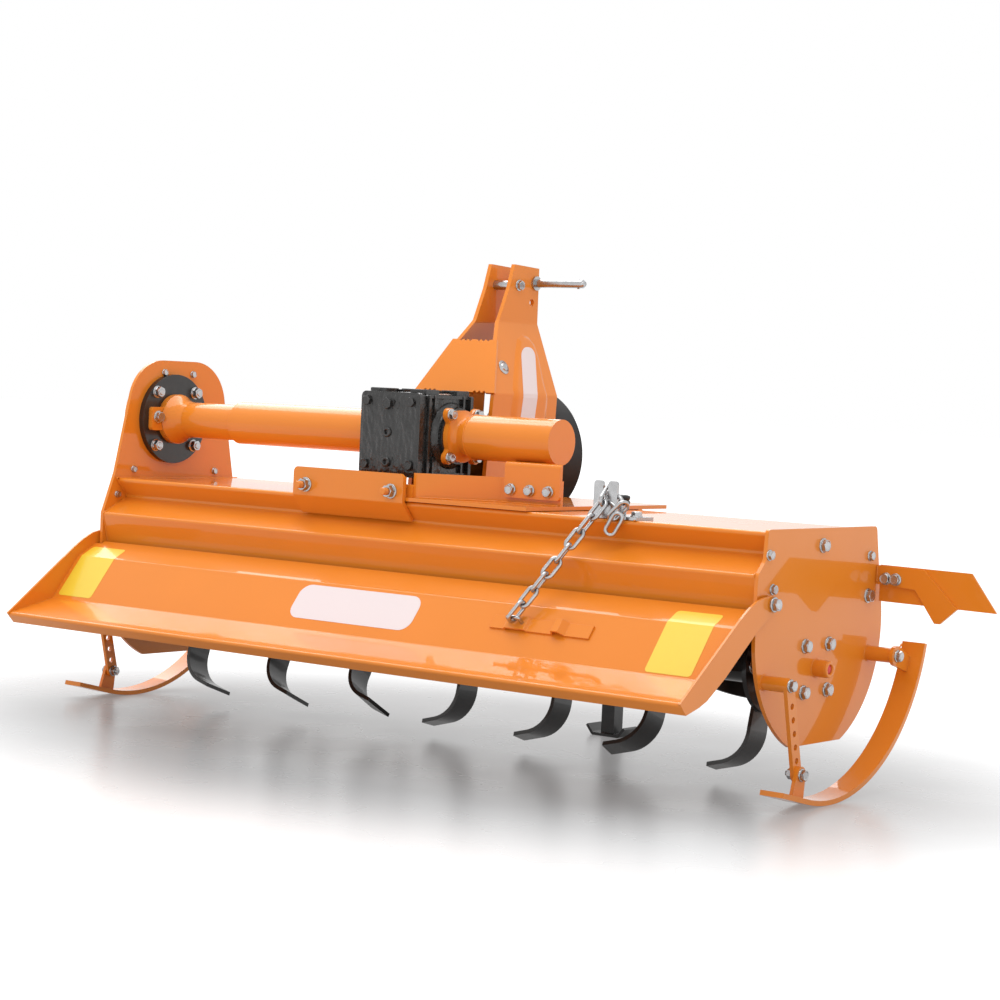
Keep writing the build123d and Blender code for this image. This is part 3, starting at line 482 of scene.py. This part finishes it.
def lumpy(into, corner, across, up, normal, width, height, depth, seed, step=2.1):
    """Rough cast metal over a flat face: lumps and runs, fading out at the rim."""
    columns, lines = round(width / step), round(height / step)
    rows = []
    for j in range(lines + 1):
        row = []
        for k in range(columns + 1):
            u, v = width * k / columns, height * j / lines
            rim = min(1.0, min(u, v, width - u, height - v) / 7)
            lumps = noise.noise(Vector((u / 26 + seed, v / 38, seed))) * 0.9
            runs = noise.noise(Vector((u / 7.5, v / 19 + seed, seed))) * 0.75
            grain = noise.noise(Vector((u / 3.4, v / 4.6, seed + 9))) * 0.42
            proud = rim * (0.9 + lumps + runs + grain) * depth
            offset = (across * u + up * v + normal * max(0.12, proud)) * MM
            row.append(into.mesh.verts.new(Vector(corner) + offset))
        rows.append(row)
    for a, b in zip(rows, rows[1:]):
        for k in range(columns):
            into.mesh.faces.new((a[k], a[k + 1], b[k + 1], b[k])).smooth = True


rough = batch("gearbox_skin", "headstock", CASTING, "black_iron")
lumpy(rough, at(-192, COVER_FACE, 564), X, Z, -Y, 157, 174, 2.0, 3)
lumpy(rough, at(GEAR_RIGHT, -59, 573), Y, Z, X, 60, 158, 2.4, 11)
lumpy(rough, at(GEAR_LEFT, 91, 573), -Y, Z, -X, 150, 158, 2.4, 17)
lumpy(rough, at(-190, -58, 739), X, Y, Z, 152, 148, 2.0, 23)
lumpy(rough, at(-40, 95, 571), -X, Z, Y, 150, 160, 2.2, 31)

# ------------------------------------------------------------------ mast pressings, decal and bolts
FOLD_TOP, FOLD_FOOT, NARROW, BROAD = 905, 745, 37.5, 107.5
PRESSED = [(202, 560), (203, 707), (212, 763), (240, 808), (264, 846), (283, 872), (311, 885), (334, 879),
           (349, 861), (351, 827), (342, 777), (337, 709), (337, 560)]
PRESS_HIGH, PRESS_EDGE = 6.0, 15.0
PANEL_FOOT, PANEL_TOP, PANEL_ROWS, PANEL_COLUMNS = 560.5, 884.5, 60, 30
ROUND_HEAD = [(16, 0), (16, 2), (15.4, 2.6), (9.5, 2.6), (9.2, 4.5), (7.5, 6.6), (4.5, 8), (0, 8.4)]


def mast_face(side, y, z, lift=0.0):
    """A point over the outer face of a mast side and the normal there."""
    if z > FOLD_TOP:
        out, normal = NARROW, Vector((side, 0, 0))
    elif z < FOLD_FOOT:
        out, normal = BROAD, Vector((side, 0, 0))
    else:
        slope = (BROAD - NARROW) / (FOLD_TOP - FOLD_FOOT)
        out, normal = NARROW + (FOLD_TOP - z) * slope, Vector((side, 0, slope)).normalized()
    return at(MID + side * out, y, z) + normal * lift * MM, normal


def to_rim(y, z):
    """How far a point lies inside the pressed panel's outline."""
    best = 1e9
    for (y0, z0), (y1, z1) in zip(PRESSED, PRESSED[1:] + PRESSED[:1]):
        dy, dz = y1 - y0, z1 - z0
        share = max(0.0, min(1.0, ((y - y0) * dy + (z - z0) * dz) / (dy * dy + dz * dz)))
        best = min(best, math.hypot(y - y0 - share * dy, z - z0 - share * dz))
    return best


def span_at(z):
    """Where the pressed panel begins and ends along y at a height."""
    cuts = []
    for (y0, z0), (y1, z1) in zip(PRESSED, PRESSED[1:] + PRESSED[:1]):
        if (z0 - z) * (z1 - z) < 0:
            cuts.append(y0 + (y1 - y0) * (z - z0) / (z1 - z0))
    return min(cuts), max(cuts)


pressing = batch("mast_pressings", "headstock", ORANGE, "orange_paint")
for side in (-1, 1):
    rows = []
    for k in range(PANEL_ROWS + 1):
        z = PANEL_FOOT + (PANEL_TOP - PANEL_FOOT) * (1 - (1 - k / PANEL_ROWS) ** 1.6)
        y0, y1 = span_at(z)
        row = []
        for j in range(PANEL_COLUMNS + 1):
            y = y0 + (y1 - y0) * (1 - math.cos(math.pi * j / PANEL_COLUMNS)) / 2
            share = min(1.0, to_rim(y, z) / PRESS_EDGE)
            row.append(pressing.mesh.verts.new(mast_face(
                side, y, z, 0.05 + PRESS_HIGH * share * share * (3 - 2 * share))[0]))
        rows.append(row)
    for a, b in zip(rows, rows[1:]):
        for k in range(PANEL_COLUMNS):
            pressing.mesh.faces.new((a[k], a[k + 1], b[k + 1], b[k])).smooth = True
    point, normal = mast_face(side, 203.6, 804.9)
    batch("headstock_bolts", "headstock").turned(facing(point, normal), ROUND_HEAD, 32)
    bolt("headstock", 12, (MID + side * NARROW, 305, 991), X * side)


DECAL_TOP, DECAL_LONG = 851, 214


def on_mast(y, s):
    """A point on the right mast's pressed panel, s millimetres down the decal from its top."""
    z = DECAL_TOP - s
    lean = 7 + (z - FOLD_FOOT) * 0.415 if z > FOLD_FOOT else (z - 700) * 0.155
    return mast_face(1, y + lean, z, PRESS_HIGH + 0.1)


film("mast_film", "headstock", PALE_FILM, None, on_mast, 233, 285, 0, DECAL_LONG, 22,
     range(8, 210, 6))

# ------------------------------------------------------------------ fork, spare links and knob
extra = batch("spare_links", "frame")


def link(into, centre, axis, wide, half, r=4, bow=10):
    """A chain link about a point, long along axis, its width nearest to the direction wide."""
    axis = Vector(axis).normalized()
    wide = (Vector(wide) - axis * axis.dot(Vector(wide))).normalized()
    path = []
    for end in (1, -1):
        for k in range(9):
            t = math.pi * k / 8
            across, along = wide * (bow * math.cos(t)) * end, axis * (end * half + bow * math.sin(t) * end)
            path.append(Vector(centre) + (across + along) * MM)
    into.pipe(path, r, around=12, closed=True)


for centre, axis, wide, half in (((524, -148, 504), (23, 4, 42), (0.7, 0.4, -0.5), 14),
                                 ((528, -141, 530), (-22, -6, -24), (0.5, 0.8, -0.2), 13),
                                 ((508, -128, 552), (30, -8, -16), (0.3, 0.3, 1), 12)):
    link(extra, at(*centre), axis, wide, half)
knob = batch("fork_knob", "frame", BLACK_PLASTIC, "black_plastic")
place = facing(at(506, -98, 519), Z)
knob.turned(place, [(9, 20), (15, 22), (16.5, 24), (16.5, 28), (15, 29.5), (14.5, 31), (16, 32.5), (16.5, 36),
                    (15.5, 39), (9, 41), (0, 41)], 32)
base = batch("frame_bolts", "frame")
base.hexagon(place, 19, 8, bore=6)
base.turned(place, [(6, 7), (6, 21)], 20)
bolt("frame", 12, (551, -110, 519), Z)
for x in (468, 560):
    batch("frame_welds", "frame", ORANGE, "orange_paint").bead(
        [at(x, -133.5, 513.5), at(x + 4, -133.5, 513.5)], 1.5)

# ------------------------------------------------------------------ weld beads
WELDS = [
    # body, points
    ("headstock", [(MID + 112, 125, 523), (MID + 112, 368, 523)]),
    ("headstock", [(MID - 112, 125, 523), (MID - 112, 368, 523)]),
    ("headstock", [(8, -127, 523), (148, -29, 523), (300, -29, 523)]),
    ("headstock", [(-310, -140, 523), (-20, -140, 523)]),
    ("headstock", [(-464, 372, 515), (236, 372, 515)]),
    ("headstock", [(227.5, 373, 456), (227.5, 373, 512)]),
    ("headstock", [(-455.5, 373, 456), (-455.5, 373, 512)]),
    ("headstock", [(150, 373, 498), (194, 373, 498)]), ("headstock", [(150, 373, 457), (194, 373, 457)]),
    ("frame", [(RIGHT + 57.5, 290, 286), (RIGHT + 57.5, 252, 252)]),
    ("frame", [(RIGHT + 57.5, -122, 17), (RIGHT + 57.5, -88, 12)]),
    ("frame", [(-923.5, 290, 286), (-923.5, 252, 252)]),
    ("frame", [(-923.5, -122, 17), (-923.5, -88, 12)]),
    ("frame", [(RIGHT + 2, 276, 439), (RIGHT + 2, 276, 406)]),
]
HOOD_SECTION = [(300, 330), (288, 431), (224, 470), (262, 513),
                (-141, 513), (-103, 470), (-179, 432), (-158, 360)]
for x in (LEFT + 1.5, RIGHT - PLATE - 1.5):
    WELDS.append(("frame", [(x, y, z) for y, z in HOOD_SECTION]))
for body, points in WELDS:
    batch(f"{body}_welds", body, ORANGE, "orange_paint").bead([at(*p) for p in points], 2.0)


def ring(x, y, z, r, around=60):
    """Points round a line along x, in the shared frame."""
    return [at(x, y + r * math.cos(2 * math.pi * k / around), z + r * math.sin(2 * math.pi * k / around))
            for k in range(around + 1)]


for body, x, y, z, r in (
        ("headstock", -1, DRIVE_Y, DRIVE_Z, 37), ("headstock", 37, DRIVE_Y, DRIVE_Z, 48),
        ("frame", LEFT + 26, DRIVE_Y, DRIVE_Z, 37), ("frame", LEFT + 56, DRIVE_Y, DRIVE_Z, 41),
        ("headstock", -230, DRIVE_Y, DRIVE_Z, 48.5),
        ("frame", RIGHT, *SKID_PIN, 15.5), ("frame", -883, *SKID_PIN, 15.5),
        ("frame", RIGHT, *STRAP_TOP, 14.5), ("frame", -883, *STRAP_TOP, 14.5),
        ("frame", RIGHT, AXLE_Y, AXLE_Z, 17.5), ("tailboard", RIGHT + 11, -138, 378, 12)):
    batch(f"{body}_welds", body, ORANGE, "orange_paint").bead(ring(x, y, z, r), 1.6)

# ------------------------------------------------------------------ blade bolts
ROTOR_FLANGES = (
    # x, side of the first blade, its angle forward of straight down
    (-745, 1, -18), (-480, 1, -25), (-225, 1, -32), (50, -1, -9),
    (304, -1, -12), (548, -1, -20), (774, -1, -10),
)
LAST_FLANGE = ROTOR_FLANGES[-1][0]              # all its blades are left-hand ones
BOLT_R, BOLT_APART, HEAD_OUT, NUT_OUT = 72, 15, 13, 5
for x, first_side, first in ROTOR_FLANGES:
    for k in range(4):
        side = first_side if k % 2 == 0 else -first_side
        if x == LAST_FLANGE:
            side = -1
        turn = math.radians(first + 90 * k)
        for off in (-BOLT_APART, BOLT_APART):
            y = AXLE_Y + BOLT_R * math.sin(turn) + off * math.cos(turn)
            z = AXLE_Z - BOLT_R * math.cos(turn) + off * math.sin(turn)
            bolt("rotor", 14, (x + side * HEAD_OUT, y, z), X * side, washer=False, finish=CASTING)
            bolt("rotor", 14, (x - side * NUT_OUT, y, z), -X * side, tail=4)

# ------------------------------------------------------------------ grease boss, pins and stand
BOSS_END = RIGHT + 28
red = batch("grease_cap", "frame", RED_PLASTIC, None)
red.turned(facing(at(BOSS_END, AXLE_Y, AXLE_Z), X), [(9.5, 0), (9.5, 1.5), (6, 2.6), (0, 2.8)], 28)
lip = batch("grease_lip", "frame", ORANGE, "orange_paint")
lip.turned(facing(at(BOSS_END, AXLE_Y, AXLE_Z), X),
           [(16.5, 0), (16.5, 3.5), (15, 5), (11, 5), (9.6, 4), (9.6, 0)], 36)
TOP_PIN_END, TOP_PIN_Y, TOP_PIN_Z = 55, 367.5, 999
LOWER_PIN_Y, LOWER_PIN_Z, SHOULDER, PIN_LONG, CROSS_HOLE = 405, 470, 341.5, 74, 12
pins = batch("pin_details", "headstock")
pins.turned(facing(at(TOP_PIN_END, TOP_PIN_Y, TOP_PIN_Z), X), [(9, 0), (6.5, 2.5), (6, 5), (0, 5)], 24)
pins.turned(facing(at(TOP_PIN_END - CROSS_HOLE, TOP_PIN_Y, TOP_PIN_Z - 11.5), Z),
            [(0, 0), (3, 0.5), (3, 22), (0, 23)], 16)
for side in (-1, 1):
    root, end = MID + side * SHOULDER, MID + side * (SHOULDER + PIN_LONG)
    hole = end - side * CROSS_HOLE
    pins.turned(facing(at(end, LOWER_PIN_Y, LOWER_PIN_Z), X * side), [(11, 0), (8, 3), (0, 3)], 28)
    pins.turned(facing(at(hole, LOWER_PIN_Y, LOWER_PIN_Z - 13.5), Z),
                [(0, 0), (4, 0.5), (4, 31), (5.5, 33), (0, 35)], 16)
    loop = [at(hole, LOWER_PIN_Y, LOWER_PIN_Z + 3) + Vector((0, 16 * math.cos(t), 16 * math.sin(t))) * MM
            for t in (2 * math.pi * k / 32 for k in range(32))]
    pins.pipe(loop, 1.6, around=8, closed=True)
    pins.turned(facing(at(root, LOWER_PIN_Y, LOWER_PIN_Z), X * side), [(19, 0), (19, 4), (11.2, 4)], 32)
STAND_X, STAND_Y, STAND_Z = 172, 394, 470       # middle of the pin through sleeve and leg
stand_pin = batch("stand_pin", "headstock")
stand_pin.turned(facing(at(STAND_X - 34, STAND_Y, STAND_Z), X), [(0, 0), (5, 1), (5, 66), (0, 68)], 20)
stand_pin.turned(facing(at(STAND_X - 26, STAND_Y, STAND_Z), X), [(8, 0), (8, 4), (5, 4)], 24)
stand_pin.pipe([at(STAND_X + 28, STAND_Y + 14 * math.cos(t), STAND_Z - 12 + 14 * math.sin(t))
                for t in (2 * math.pi * k / 28 for k in range(28))], 1.6, around=8, closed=True)

# ------------------------------------------------------------------ drive case bolts and plugs
CASE_RIM, CASE_FACE = LEFT - PLATE - 5, LEFT - PLATE - 42
TOP_R, FOOT_R = 118, 143                        # middle of the case's rim round its two axes
rim = [(DRIVE_Y + TOP_R * math.sin(t), DRIVE_Z + TOP_R * math.cos(t))
       for t in map(math.radians, (-60, -20, 20, 60))]
rim += [(AXLE_Y + FOOT_R * math.sin(t), AXLE_Z + FOOT_R * math.cos(t))
        for t in map(math.radians, (160, 200))]
for share in (0.3, 0.65):
    middle, reach = AXLE_Y + (DRIVE_Y - AXLE_Y) * share, FOOT_R + (TOP_R - FOOT_R) * share
    level = AXLE_Z + (DRIVE_Z - AXLE_Z) * share
    rim += [(middle - reach, level), (middle + reach, level)]
for y, z in rim:
    bolt("frame", 6, (CASE_RIM, y, z), -X, washer=False)
bolt("frame", 16, (CASE_FACE, AXLE_Y, AXLE_Z + 62), -X)
bolt("frame", 12, (CASE_FACE, DRIVE_Y, DRIVE_Z + 58), -X)

# ------------------------------------------------------------------ splined input shaft
SHAFT_Y, SHAFT_Z, STUB_Y, STUB_LONG = 62, 612, 305, 95
SPLINES, SPLINE_R, ROOT_R = 6, 17.45, 14.9
SPLINE_SECTION = (
    # radius, degrees from the spline's middle
    (ROOT_R, -17), (SPLINE_R, -14.4), (SPLINE_R, 0), (SPLINE_R, 14.4), (ROOT_R, 17),
)


def splined():
    """The stub's section, one spline after another round its axis."""
    points = []
    for k in range(SPLINES):
        for r, off in SPLINE_SECTION:
            t = math.radians(360 * k / SPLINES + off)
            points.append((r * math.cos(t), r * math.sin(t)))
    return points


shaft = batch("splined_shaft", "power_shaft", STEEL, "bare_steel")
shaft.turned(facing(at(MID, SHAFT_Y, SHAFT_Z), Y), [(0, 0), (21, 0), (21, 241.5), (19.5, 243), (0, 243)], 48)
shaft.slab(facing(at(MID, STUB_Y, SHAFT_Z), Y), splined(), -1, STUB_LONG, 2)

# ------------------------------------------------------------------ necks flared into their flanges
necks = batch("tube_necks", "headstock", ORANGE, "orange_paint")
necks.turned(facing(at(-1, DRIVE_Y, DRIVE_Z), X), [(56, 2.6), (50, 4.5), (44, 8), (40, 14), (37.6, 24)], 48)
necks.turned(facing(at(-228, DRIVE_Y, DRIVE_Z), -X), [(57, 1.4), (54, 4), (50.5, 9), (48.4, 17)], 48)
drive_neck = batch("drive_neck", "frame", ORANGE, "orange_paint")
drive_neck.turned(facing(at(LEFT + 26, DRIVE_Y, DRIVE_Z), X),
                  [(57, 1), (56, 3), (53, 8), (49, 15), (45.5, 24), (43, 34), (41.3, 48)], 56)
# the low end of the saddle's web, behind the rear clamp
block(batch("web_foot", "headstock", ORANGE, "orange_paint"), -40, -3, -129, -121, 521, 549, 2)

for gathered in list(Batch.made.values()):
    piece = gathered.finish_up()
    if gathered is shaft:
        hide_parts("power_shaft")

# ------------------------------------------------------------------ stage, lights and camera
scene = bpy.context.scene
scene.view_settings.view_transform = "Standard"


def stage_plane(name, corners, finish):
    """A flat plane of the studio, which is no piece of the part."""
    mesh = bpy.data.meshes.new(name)
    mesh.from_pydata(corners, [], [range(len(corners))])
    plane = bpy.data.objects.new(name, mesh)
    scene.collection.objects.link(plane)
    mesh.materials.append(finish)


def painted_shadow_pool(finish, centre, half_x, half_y, start, end, least, glow):
    """Paints a soft oval of shadow on a floor: it glows white outside the oval and less within it."""
    nodes, links = finish.node_tree.nodes, finish.node_tree.links
    place, scale = nodes.new("ShaderNodeTexCoord"), nodes.new("ShaderNodeMapping")
    scale.inputs["Scale"].default_value = (1 / half_x, 1 / half_y, 1)
    scale.inputs["Location"].default_value = (-centre[0] / half_x, -centre[1] / half_y, 0)
    links.new(place.outputs["Object"], scale.inputs["Vector"])
    reach = nodes.new("ShaderNodeVectorMath")
    reach.operation = "LENGTH"
    links.new(scale.outputs["Vector"], reach.inputs[0])
    shadow_fade = nodes.new("ShaderNodeMapRange")
    shadow_fade.interpolation_type = "SMOOTHSTEP"
    shadow_fade.inputs["From Min"].default_value, shadow_fade.inputs["From Max"].default_value = start, end
    shadow_fade.inputs["To Min"].default_value, shadow_fade.inputs["To Max"].default_value = least, glow
    links.new(reach.outputs["Value"], shadow_fade.inputs["Value"])
    shader = nodes["Principled BSDF"]
    shader.inputs["Emission Color"].default_value = (1, 1, 1, 1)
    links.new(shadow_fade.outputs["Result"], shader.inputs["Emission Strength"])


# dark grey floor whose glow paints a soft shadow under the part and white all round it
FLOOR = surface("floor", (0.19, 0.19, 0.192), 0.28, tint=0.004, tint_size=2, specular=0.25, round_edge=0.1)
painted_shadow_pool(FLOOR, (-0.10, 0.02), 1.62, 1.16, 0.50, 1.14, 0.165, 0.78)
stage_plane("floor", [(-40, -20, 0), (40, -20, 0), (40, 60, 0), (-40, 60, 0)], FLOOR)

world = bpy.data.worlds.new("studio")
scene.world = world
world.use_nodes = True
world.node_tree.nodes["Background"].inputs["Color"].default_value = (1, 1, 1, 1)
world.node_tree.nodes["Background"].inputs["Strength"].default_value = 1.0

LIGHTS = (
    # name, position, target, width, depth, watts
    ("top", (-0.6, -0.5, 4.2), (0, 0, 0.4), 4.5, 2.2, 80),
    ("key", (-3.0, 2.1, 3.7), (0, 0, 0.4), 4.6, 3.6, 150),
    ("fill", (4.5, -4.0, 2.2), (0, 0, 0.4), 2.0, 2.4, 14),
)
for name, spot, target, width, depth, watts in LIGHTS:
    lamp = bpy.data.lights.new(name, "AREA")
    lamp.shape, lamp.size, lamp.size_y, lamp.energy = "RECTANGLE", width, depth, watts
    holder = bpy.data.objects.new(name, lamp)
    scene.collection.objects.link(holder)
    holder.location = spot
    holder.rotation_euler = (Vector(target) - Vector(spot)).to_track_quat("-Z", "Y").to_euler()

camera = bpy.data.cameras.new("camera")
camera.sensor_width, camera.lens = 36.0, 89.118
camera.shift_x, camera.shift_y = 0.0257, -0.0055
viewer = bpy.data.objects.new("camera", camera)
scene.collection.objects.link(viewer)
look = Vector((-0.61190778, 0.78976641, -0.04287052))
side = Vector((0.78844037, 0.61338215, 0.04608814))
pose = Matrix((side, side.cross(look), -look)).transposed().to_4x4()
pose.translation = at(3267.2, -4138.2, 756.6)
viewer.matrix_world = pose
scene.camera = viewer
